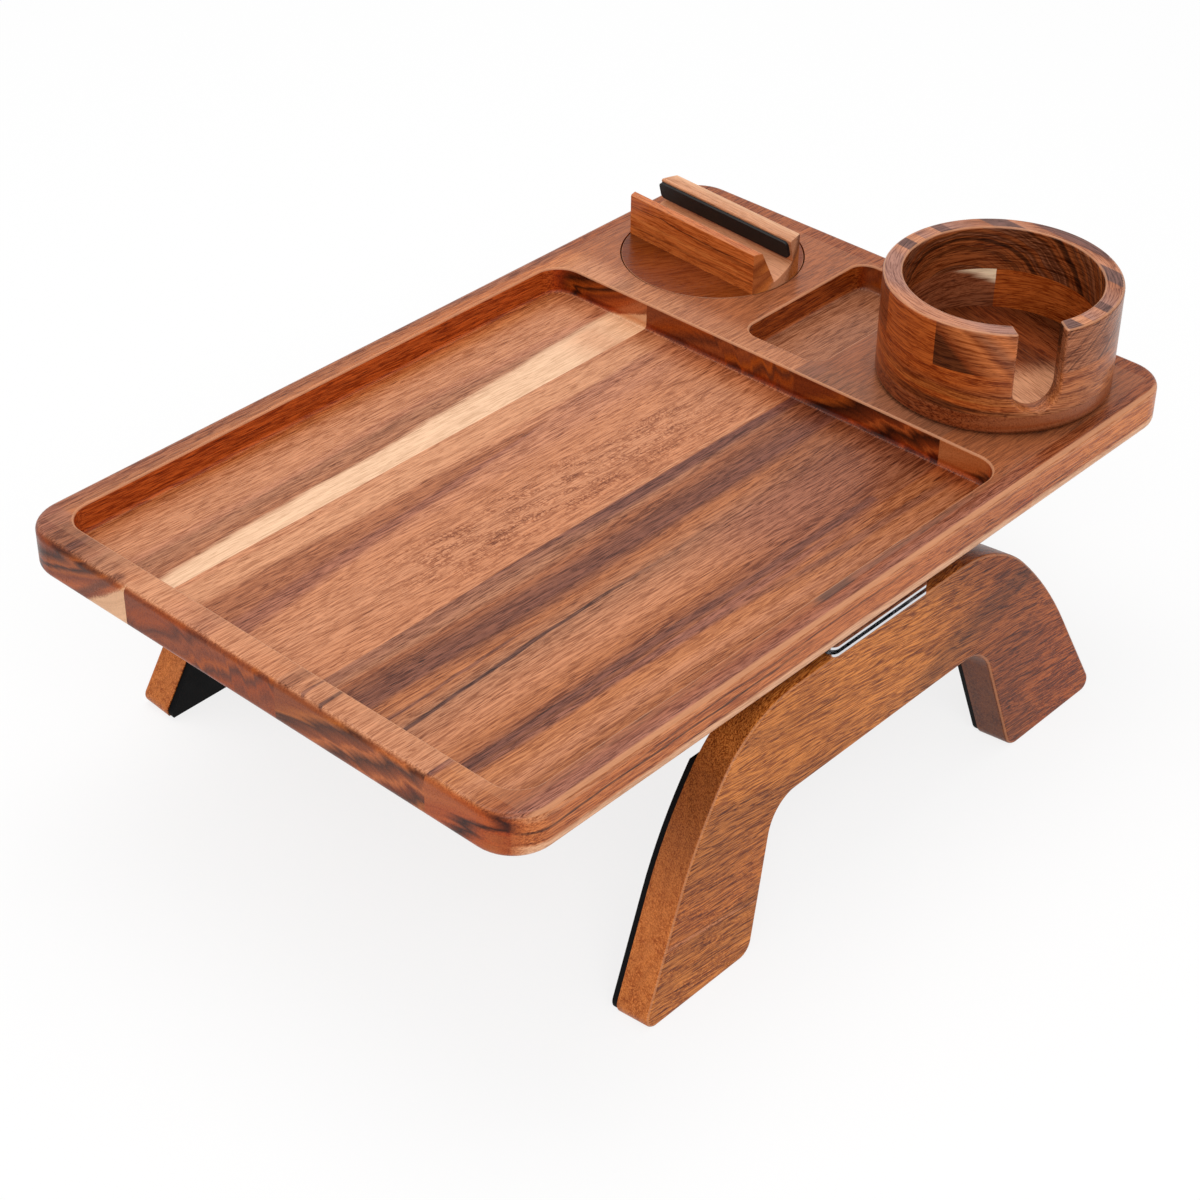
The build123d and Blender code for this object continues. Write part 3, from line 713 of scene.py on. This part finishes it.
def far_stave():
    wood = Wood("far stave acacia", 1.3, RECESS_FLOOR)
    nodes = wood.nodes
    wood.spread(
        (
            (72, "tan"), (93, "dull tan"), (97, "pink tan"), (101, "pale tan"), (107, "pale tan"),
            (112, "pale tan"), (118, "tan"), (123, "orange tan"), (128, "amber"), (132, "brown"),
            (140, "pink brown"),
        ),
        stir=7.0, pith=(105.0, 44.0), taper=0.03, broad=9.0, fine=2.0,
    )
    wood.streaks(
        streak("honey", 1, -100, 66, slope=1, widening=0.6, soft=0.8, begin=60, fade=90),
        streak("brown", 0.4, 91, 4, slope=0.048, lean=-1.7, soft=0.9, end=30, fade=160),
        streak("umber", 0.9, 93, 5, slope=0.048, lean=-1.7, soft=0.9, end=FLOOR_START, fade=4),
        streak("russet", 0.85, 110, 60, **AT_HOLDERS),
        streak("umber", 0.9, 113, 20, soft=0.5, end=END_RIM, fade=3),
        streak("plum", 0.6, 108.5, 2.5, soft=0.5, end=END_RIM, fade=2),
        streak("pink brown", 0.8, 132, 12, soft=0.5, end=-190, fade=3),
    )
    wood.ends(
        (
            (72, "russet"), (86, "russet"), (97, "amber"), (108, "russet"), (114, "golden"),
            (120, "walnut"), (124, "golden"), (135, "walnut"), (146, "russet"),
        ),
        2.2,
    )
    wood.patch(nodes.step(wood.tilt(1), -0.3, -0.8, 0.0, 0.8), "bright gold")
    sapwood = dict(slope=0.024, widening=0.025, soft=0.14, wobble=4.0, fade=2.0)
    wood.streaks(
        streak("umber", 0.9, 95, 5, lean=-1.3, soft=0.9, end=-203, fade=3),
        streak("cream", 1, 61.5, 30, lean=-1.4, end=98, **sapwood),
        streak("cream", 0.95, 64.5, 27, lean=-1.4, soft=0.15, wobble=4, end=-204, fade=2),
        streak("amber", 0.5, 61.5, 30, slope=0.024, widening=0.02, soft=0.2, begin=50, end=98),
        streak("cream", 0.9, 61.5, 27, lean=-2.6, begin=95, end=102, **sapwood),
    )
    wood.deepen()
    # darker end grain, painted shade in the recess and a painted highlight on its arris
    wood.machine(1.25, 1.5)
    return wood.finish()


def inner_far_stave():
    wood = Wood("inner far stave acacia", 2.1, RECESS_FLOOR, wander=3.5)
    nodes = wood.nodes
    wood.spread(
        (
            (-15, "tan"), (-5, "tan"), (10, "pale tan"), (30, "tan"), (46, "pink tan"),
            (54, "pale tan"), (58, "straw"), (68, "straw"), (72, "pale tan"),
        ),
        stir=6.0, pith=(51.0, -11.0), taper=0.045, broad=8.0, fine=2.0,
    )
    wood.streaks(
        streak("plum", 0.8, -15.4, 1.3, soft=0.5, wobble=1, begin=-150, fade=60),
        streak("straw", 0.6, -12.8, 0.9, soft=0.5, wobble=1, begin=-60, fade=60),
        streak(
            "brown", 0.85, 51, 2, slope=0.045, widening=-0.085, soft=0.45, wobble=5, begin=-206,
            end=14, fade=16,
        ),
        streak(
            "pink brown", 0.8, 49, 1, slope=0.09, widening=-0.04, soft=0.8, wobble=5, end=12,
            fade=20,
        ),
        streak("pink brown", 0.6, 52, 5, slope=0.02, soft=0.8, begin=-10, fade=60),
        streak("brown", 0.3, 70, 2.5, soft=0.8, begin=20, fade=80),
        streak("brown", 0.7, 30, 100, soft=0.1, begin=45, fade=80),
        streak("pale tan", 0.5, 44, 34, soft=0.3, end=END_RIM, fade=2),
        streak("russet", 0.85, 30, 100, **AT_HOLDERS),
    )
    wood.ends(
        (
            (-40, "golden"), (-20, "honey"), (-8, "brown"), (6, "golden"), (16, "umber"),
            (26, "old gold"), (36, "brown"), (46, "honey"), (56, "umber"), (70, "golden"),
            (90, "brown"),
        ),
        2.6,
    )
    x, y, z = nodes.split(wood.place)
    small_recess = nodes.step(x, HOLDER_END - 2.0, HOLDER_END + 2.0)
    wood.patch(nodes.times(small_recess, nodes.step(z, *FLOOR_HEIGHTS)), "dull tan", 0.8)
    steep = nodes.step(nodes.size(wood.tilt(1)), 0.3, 0.8, 0.0, 0.75)
    wood.patch(small_recess, "golden", steep)
    wood.deepen()
    wood.ripple(1.15, 8, 24, begin=-150, end=95, fade=70)
    # darker end grain, painted shade in the recess and a painted highlight on its arris
    wood.machine(1.45, 1.0)
    return wood.finish()


def inner_near_stave():
    wood = Wood("inner near stave acacia", 3.6, RECESS_FLOOR)
    wood.spread(
        (
            (-95, "umber"), (-90, "brown"), (-84, "honey"), (-72, "tan"), (-58, "dull tan"),
            (-46, "honey"), (-41, "umber"), (-30, "umber"), (-25, "brown"), (-21, "dull tan"),
            (-15, "grey brown"),
        ),
        stir=7.0, pith=(-35.0, -76.0), taper=0.02, broad=8.0, fine=2.2,
    )
    wood.streaks(
        streak("red brown", 0.75, -76, 36, soft=0.8, begin=-50, fade=130),
        streak("pink brown", 0.6, -72, 24, soft=0.7, begin=-40, fade=60),
        streak("umber", 0.85, -50, 100, soft=0.1, begin=10, fade=100),
        streak("plum", 0.85, -17, 5, lean=0.9, soft=0.6, begin=-80, fade=60),
        streak("plum", 0.7, -15.4, 1.2, soft=0.4, begin=-150, fade=60),
        streak("grey brown", 0.7, -17.5, 4, lean=0.9, soft=0.7, end=-20, fade=60),
        streak("pale tan", 0.85, -50, 60, soft=0.05, end=END_RIM, fade=3),
        streak("umber", 0.7, -20, 4, soft=0.5, end=END_RIM, fade=3),
        streak("plum", 0.5, -35.5, 7, lean=1.1, soft=0.95, wobble=4, begin=FLOOR_START, fade=2),
        streak(
            "plum", 0.5, -39, 3, slope=0.008, lean=1.1, soft=0.8, wobble=3.5, begin=FLOOR_START,
            fade=2,
        ),
        streak(
            "dark plum", 0.85, -54.5, 1.3, slope=0.024, lean=1.6, soft=0.6, wobble=3, end=20,
            fade=130,
        ),
        streak("plum", 0.7, -50.5, 1.1, lean=1.6, soft=0.6, wobble=6, end=-95, fade=30),
        streak(
            "plum", 0.75, -91, 3.6, slope=0.006, lean=0.3, soft=0.8, wobble=3, begin=FLOOR_START,
            end=60, fade=3,
        ),
        streak("russet", 0.7, -55, 100, **AT_HOLDERS),
    )
    wood.ends(
        (
            (-120, "russet"), (-104, "golden"), (-96, "walnut"), (-84, "chestnut"), (-76, "amber"),
            (-70, "russet"), (-58, "walnut"), (-46, "amber"), (-42, "russet"), (-26, "walnut"),
            (-16, "golden"), (-8, "russet"),
        ),
        2.8,
    )
    wood.deepen(0.14, 0.16)
    # darker end grain, painted shade in the recess and a painted highlight on its arris
    wood.machine(1.1, 3.4)
    return wood.finish()


def near_stave():
    wood = Wood("near stave acacia", 4.4, RECESS_FLOOR)
    nodes = wood.nodes
    wood.spread(
        (
            (-140, "pink brown"), (-135, "pink brown"), (-128, "russet"), (-118, "honey"),
            (-112, "tan"), (-105, "orange tan"), (-98, "honey"), (-95, "pink brown"),
        ),
        stir=6.0, pith=(-120.0, -62.0), taper=0.03, broad=8.0, fine=2.2,
    )
    wood.streaks(
        streak("red brown", 0.55, -112, 30, soft=0.8, begin=-60, fade=150),
        streak("plum", 0.45, -98, 2.4, slope=-0.012, soft=0.8, end=-60, fade=80),
        streak("plum", 0.4, -102.6, 2.2, slope=-0.085, soft=0.6, wobble=2, begin=-100, end=35),
        streak("plum", 0.6, -104, 4, slope=-0.03, soft=0.8, begin=-30, end=130, fade=60),
        streak("dark plum", 1, -130.6, 2.6, soft=0.4, begin=-36, end=-4, fade=10),
        streak("plum", 0.8, -130.8, 2, soft=0.5, wobble=1, begin=-20, end=80, fade=20),
        streak("russet", 0.85, -115, 60, soft=0.1, begin=70, fade=40),
    )
    # the side face has tones of its own
    top = wood.colour
    wood.patch(1.0, "amber")
    wood.streaks(
        streak("russet", 0.3, -140, 30, soft=0.1, begin=20, end=130, fade=50),
        streak("light amber", 0.5, -140, 400, soft=0.1, begin=110, fade=60),
        streak("straw", 0.5, -205, 14, lean=6, soft=0.8, wobble=16),
        streak("cream", 0.6, -116, 20, **ON_SIDE, wobble=12),
        streak("walnut", 0.85, -163, 5, **ON_SIDE, wobble=22, end=-20, fade=60),
        streak("chestnut", 0.5, -136, 4, **ON_SIDE, wobble=20),
        streak("walnut", 0.6, -186, 4, **ON_SIDE, wobble=24, begin=-160, end=40),
        streak("walnut", 0.5, -150, 3, **ON_SIDE, wobble=20, begin=30, end=180),
    )
    wood.colour = nodes.mix(nodes.step(wood.tilt(1), -0.35, -0.8), top, wood.colour)
    wood.ends(
        (
            (-150, "amber"), (-132, "orange tan"), (-124, "amber"), (-116, "walnut"),
            (-108, "amber"), (-80, "orange tan"),
        ),
        1.4,
    )
    wood.deepen()
    # darker end grain, painted shade in the recess and a painted highlight on its arris
    wood.machine(1.4, 0.5)
    # painted highlight along the outer arris of the near side
    arris_highlight = nodes.window(wood.tilt(2), 0.45, 0.92, 0.1)
    outer = nodes.step(nodes.split(wood.place)[1], -136.0, -138.0, 0.0, 0.75)
    wood.patch(arris_highlight, "straw", outer)
    return wood.finish()


dress(far_stave(), "board_far_stave")
dress(inner_far_stave(), "board_inner_far_stave")
dress(inner_near_stave(), "board_inner_near_stave")
dress(near_stave(), "board_near_stave")

# Phone rest: its grain runs along the walls
REST_MIDDLE = (0.1551, 0.0816, 0.1345)
REST_TURN = -4.0


def turntable():
    wood = Wood("turntable acacia", 5.2, REST_MIDDLE, (0.0, 0.0, -30.0), wander=9.0, run=60.0)
    wood.spread(
        ((-45, "burnt brown"), (-15, "chestnut"), (5, "burnt brown"), (45, "walnut")), 12.0
    )
    wood.streaks(
        streak(
            "walnut", 0.55, -24, 3, slope=0.9, widening=0.05, soft=0.4, begin=-45, end=-12,
            fade=8,
        )
    )
    wood.deepen(bands=0.2, lines=0.15, fibres=0.35, pores=0.3)
    # painted highlight on the rounded arrises
    wood.paint_arris_highlight(0.35, 0.4, 0.93)
    return wood.finish(0.3)


def rest_wood(name, seed, stops, top_shade, top_share, *laid):
    turn = (0.0, 0.0, 90.0 + REST_TURN)
    wood = Wood(name, seed, REST_MIDDLE, turn, wander=4.0, run=50.0)
    nodes = wood.nodes
    wood.spread(stops, 8.0, pith=(30.0, 60.0), broad=7.0, fine=2.0, taper=0.05)
    wood.streaks(*laid)
    height = nodes.split(wood.place)[2]
    top = nodes.times(nodes.step(wood.tilt(2), 0.9, 0.98), top_share)
    wood.patch(nodes.times(top, nodes.step(height, 14.0, 16.0)), top_shade)
    wood.ends(
        (
            (-40, "russet"), (-8, "golden"), (0, "walnut"), (8, "light amber"), (16, "russet"),
            (30, "amber"),
        ),
        0.7,
    )
    # pale wood where the two parts meet in the groove
    wood.streaks(streak("straw", 0.9, 0, 8, lean=-0.4, soft=0.6, wobble=4))
    wood.deepen(bands=0.2, lines=0.2, fibres=0.6)
    # painted highlight on the rounded arrises
    wood.paint_arris_highlight(0.45, 0.5, 0.93)
    return wood.finish(0.32)


front_streaks = (
    streak("walnut", 0.8, -92, 3, lean=7.4, soft=0.8, wobble=60),
    streak("walnut", 0.35, -80, 12, lean=7.4, soft=0.9, wobble=60, end=5, fade=20),
    streak("light amber", 0.5, -50, 12, lean=7.4, soft=0.9, wobble=50),
    streak("walnut", 0.35, -18, 7, lean=7.4, soft=0.9, wobble=50),
)
front_tones = ((-20, "bright gold"), (16, "bright gold"))
back_tones = ((-22, "amber"), (-13, "orange tan"), (-8, "amber"), (6, "golden"))
dress(turntable(), "phone_turntable")
rest_front = rest_wood("rest front wall acacia", 6.1, front_tones, "straw", 0.2, *front_streaks)
dress(rest_front, "phone_rest_front")
dress(rest_wood("rest back wall acacia", 6.7, back_tones, "cream", 0.6), "phone_rest_back")

# Cup holder: the wall's grain runs round it, in blocks; angles are from the cut at the hidden side
CUP_MIDDLE = (0.156, -0.0803, 0.0)
CUP_CUT = -61.0
WALL_RADIUS = 52.0
WALL_MIDDLE_RADIUS = 47.6
NOTCH_FROM_BASE_GRAIN = -22.0


def cup_base():
    wood = Wood("cup base acacia", 7.5, CUP_MIDDLE, (0.0, 0.0, -103.5), wander=4.0)
    nodes = wood.nodes
    wood.spread(
        (
            (-60, "walnut"), (-31, "chestnut"), (-30.5, "red brown"), (20, "chestnut"),
            (40, "walnut"),
        ),
        4.0,
    )
    wood.streaks(
        streak("walnut", 0.5, 12, 10, soft=0.8),
        streak("golden", 0.35, -12, 8, soft=0.9),
    )
    x, y = nodes.split(nodes.group("Grain flow", Place=wood.place)["Place"])[:2]
    notch = math.radians(NOTCH_FROM_BASE_GRAIN)
    toward_notch = nodes.line(y, math.sin(notch), nodes.times(x, math.cos(notch)))
    # painted light: the cup's floor paler toward the notch, where light comes in through it
    wood.patch(nodes.step(toward_notch, 6.0, 24.0, 0.0, 0.95), "straw")
    rim = nodes.step(nodes.size(wood.tilt(2)), 0.8, 0.6)
    height = nodes.split(wood.place)[2]
    layers = nodes.palette(
        nodes.plus(height, nodes.shift(wood.rings["Bands"], 6.0)),
        ((134, "walnut"), (138, "red brown"), (141, "chestnut"), (144, "red brown")),
    )
    wood.patch(rim, layers)
    wood.deepen(bands=0.16, lines=0.16, cut=0.35)
    return wood.finish(0.32)


def cup_lower_course():
    wood = Wood("cup lower course acacia", 7.9, CUP_MIDDLE)
    nodes = wood.nodes
    wall = nodes.group("Round wall", Place=wood.place, Radius=WALL_RADIUS, Cut_Angle=CUP_CUT)
    wood.lay(wall["Place"], 6.0, 60.0, slant=-1.5)
    wood.spread(
        (
            (143, "chestnut"), (145, "deep gold"), (147, "golden"), (150, "red brown"),
            (152.5, "walnut"), (154.5, "deep gold"), (157, "golden"), (160, "chestnut"),
            (164, "deep gold"),
        ),
        stir=5.0, broad=6.0, fine=2.0,
    )
    height, depth = nodes.split(wall["Place"])[1:]
    angle = wall["Angle"]
    wood.patch(nodes.step(angle, 260.0, 190.0), "deep gold", 0.7)
    wood.patch(nodes.step(angle, 250.0, 306.0), "honey", 0.8)
    outside = nodes.step(depth, WALL_MIDDLE_RADIUS - 1.0, WALL_MIDDLE_RADIUS + 1.0)
    inside = nodes.less(1.0, outside)
    left_block = nodes.times(inside, nodes.step(angle, 97.9, 98.0))
    wood.patch(left_block, "umber", 0.85)
    wedge = nodes.line(height, -3.2, angle)
    wedge = nodes.plus(wedge, nodes.shift(wood.rings["Bands"], 8.0))
    cream = nodes.times(left_block, nodes.step(wedge, -396.0, -412.0))
    wood.patch(cream, "pale cream")
    right_block = nodes.less(inside, left_block)
    wood.patch(right_block, "deep gold", 0.9)
    wood.deepen(bands=0.4, lines=0.25, fibres=0.75, pores=0.7, cut=1.0)
    wood.ripple(0.3, 155, 30, fade=10)
    return wood.finish(0.32)


def cup_upper_course():
    wood = Wood("cup upper course acacia", 8.2, CUP_MIDDLE)
    nodes = wood.nodes
    wall = nodes.group("Round wall", Place=wood.place, Radius=WALL_RADIUS, Cut_Angle=CUP_CUT)
    angle = wall["Angle"]
    arc, height, depth = nodes.split(wall["Place"])
    # outer wall: blocks glued end to end
    wood.lay(wall["Place"], 4.0, 60.0)
    wood.spread(((163, "chestnut"), (184, "red brown")), 3.0, broad=6.0, fine=2.0)
    wood.colour = nodes.palette(
        angle,
        (
            (0, "brown"), (48, "red brown"), (101, "deep gold"), (150, "chestnut"),
            (208, "deep gold"), (244, "chestnut"), (290, "brown"), (360, "brown"),
        ),
        sharp=True,
    )
    uneven = nodes.shift(nodes.noise(nodes.stretch(wall["Place"], 20.0, 14.0), 3.0), 6.0)
    falling = nodes.plus(nodes.line(height, 1.15, arc), uneven)
    stripes = nodes.palette(
        falling,
        (
            (405, "walnut"), (426, "walnut"), (430, "chestnut"), (433, "russet"), (443, "amber"),
            (447, "russet"), (452, "brown"), (459, "amber"), (470, "red brown"),
        ),
    )
    wood.patch(nodes.window(angle, 244.0, 290.0, 0.2), stripes)
    rising = nodes.line(height, -1.3, nodes.plus(arc, uneven))
    rising = nodes.noise(nodes.over(rising, 2.6), 4.0, 0.65, flat=True)
    figure = nodes.palette(
        rising, ((0.28, "walnut"), (0.42, "umber"), (0.54, "brown"), (0.75, "dull tan"))
    )
    wood.patch(nodes.step(angle, 290.0, 290.2), figure)
    wood.patch(nodes.window(angle, 101.0, 150.0, 0.2), "chestnut")
    # inner wall: dark curved figure
    inside = nodes.step(depth, WALL_MIDDLE_RADIUS + 1.0, WALL_MIDDLE_RADIUS - 1.0)
    rise = nodes.times(nodes.less(height, 150.0), 1.7)
    arcs = nodes.length(nodes.join(nodes.less(arc, 112.0), rise, 0.0))
    arcs = nodes.noise(nodes.over(nodes.plus(arcs, uneven), 14.0), 4.0, 0.6, flat=True)
    figure = nodes.palette(
        arcs,
        (
            (0.3, "black brown"), (0.4, "walnut"), (0.46, "russet"), (0.52, "walnut"),
            (0.6, "umber"), (0.7, "golden"),
        ),
    )
    wood.patch(inside, figure)
    # top edge: strips of the glued boards, nearly square to the board's length
    x, y = nodes.split(wood.place)[:2]
    strip = nodes.line(y, -0.1, x)
    top = nodes.step(wood.tilt(2), 0.6, 0.8)
    strips = nodes.palette(
        strip,
        (
            (-52, "pink tan"), (-46, "pink tan"), (-40, "mauve"), (-22, "mauve"), (-15, "pink tan"),
            (-14.5, "dusk"), (-7.8, "dusk"), (-7.3, "pale tan"), (-2, "tan"), (-1.6, "mauve"),
            (7.8, "pink tan"), (8.2, "dusk"), (13.6, "dusk"), (14, "mauve"), (30, "brown"),
            (30.6, "dusk"), (39, "dusk"), (39.6, "pink tan"), (45, "brown"), (45.4, "plum"),
            (50, "dusk"),
        ),
    )
    wood.patch(top, strips)
    wood.deepen(bands=0.25, lines=0.25, fibres=0.75, pores=0.7, cut=1.0)
    # painted highlight on the rounded arrises of the lip
    wood.paint_arris_highlight(0.6, 0.5, 0.95)
    return wood.finish(0.32)


dress(cup_base(), "cup_base")
dress(cup_lower_course(), "cup_lower_course")
dress(cup_upper_course(), "cup_upper_course")

# Jaws: grain along the arch, height up the face
JAW_SPLAY = 6.0
NEAR_FACE_FOOT = (0.002, -0.15156, 0.0)
FAR_FACE_FOOT = (0.002, 0.15156, 0.0)


def jaw(name, seed, middle, turn, flank_shade):
    wood = Wood(name, seed, middle, (turn, 0.0, 0.0), slant=-5.0, wander=8.0, run=90.0)
    nodes = wood.nodes
    wood.spread(
        (
            (0, "old gold"), (18, "tawny"), (30, "golden"), (60, "tawny"), (75, "old gold"),
            (95, "old gold"), (112, "tawny"),
        ),
        stir=30.0, pith=(40.0, -70.0), broad=12.0, fine=2.6, taper=0.05,
    )
    wood.streaks(
        streak("chestnut", 0.8, 50, 300, soft=0.05, begin=10, fade=70),
        streak("walnut", 0.5, 62, 14, slope=0.36, soft=0.9, wobble=8, begin=0, end=125),
        streak("chestnut", 0.6, 14, 3, slope=-0.05, soft=0.9, wobble=8, begin=60),
        streak("deep gold", 0.5, 50, 300, soft=0.05, begin=85, fade=50),
        streak("tan", 0.6, 12, 1.2, slope=-0.05, soft=0.7, wobble=4, end=-60),
    )
    x, height = nodes.split(wood.place)[:2]
    wood.patch(wood.across(), "light amber", 0.9)
    # painted shade: faces cut across the grain darker higher up and further along the arch, where
    # the board shades them; strong on the near jaw
    high = nodes.most(nodes.step(height, 30.0, 100.0), nodes.step(x, 0.0, 40.0))
    high = nodes.times(high, flank_shade)
    wood.patch(wood.across(), "walnut", high)
    wood.patch(nodes.times(wood.across(0.0, 0.28), wood.rings["Bands"]), "chestnut")
    wood.deepen(0.1, 0.2, fibres=1.25, pores=0.6, dash=14.0, width=0.65, cut=0.45)
    wood.ripple(0.9, 0, 60, end=-60, fade=60)
    wood.ripple(0.7, 20, 60, begin=40, fade=60)
    # painted highlight on the rounded arrises
    wood.paint_arris_highlight(0.4, 0.5, 0.93)
    return wood.finish(0.36)


dress(jaw("near jaw acacia", 8.3, NEAR_FACE_FOOT, 90.0 - JAW_SPLAY, 0.9), "near_jaw_arch")
dress(jaw("far jaw acacia", 9.1, FAR_FACE_FOOT, 90.0 + JAW_SPLAY, 0.1), "far_jaw_arch")


def rubber(name, colour, rough, shine):
    """Matt rubber or plastic with fine cells."""
    material, nodes, shader = new_material(name)
    place = piece_space(nodes)[0]
    cells = nodes.add("ShaderNodeTexVoronoi", {"Vector": place, "Scale": 1.3}).outputs["Distance"]
    cloud = nodes.noise(nodes.stretch(place, 12.0, 12.0), 3.0)
    nodes.fill(
        shader, Base_Color=nodes.uneven(colour, cloud, 0.5),
        Roughness=nodes.plus(rough, nodes.shift(cloud, 0.2)), Specular_IOR_Level=shine,
        Normal=nodes.bump(cells, 0.3),
    )
    return material


def metal(name, colour, rough):
    """Plated metal with a faint haze and fine rubs."""
    material, nodes, shader = new_material(name)
    place = piece_space(nodes)[0]
    haze = nodes.noise(nodes.stretch(place, 7.0, 3.5), 3.0)
    rubs = nodes.noise(nodes.stretch(place, 20.0, 0.25), 3.0)
    worn = nodes.plus(rough, nodes.shift(haze, 0.12))
    nodes.fill(
        shader, Base_Color=nodes.uneven(colour, haze, 0.2),
        Roughness=nodes.plus(worn, nodes.shift(rubs, 0.08)), Metallic=1.0,
        Normal=nodes.bump(rubs, 0.1, 0.0001),
    )
    return material


dress(rubber("foam rubber", "#060607", 0.75, 0.12), "near_jaw_pad", "far_jaw_pad")
dress(rubber("grip rubber", "#101011", 0.6, 0.3), "phone_grip_strip")
chrome = metal("bright plating", "#d9d9dc", 0.14)
steel = metal("zinc steel", "#a9a9a6", 0.32)
for side in ("near", "far"):
    dress(chrome, side + "_hinge_board_leaf", side + "_hinge_jaw_leaf", side + "_hinge_pin")
    for number in ("1", "2"):
        dress(steel, side + "_board_screw_" + number, side + "_jaw_screw_" + number)
for holder in ("phone", "cup"):
    dress(steel, holder + "_pivot_screw", holder + "_pivot_washer")
    dress(rubber("slip plastic", "#d8d6cf", 0.45, 0.5), holder + "_slip_ring")
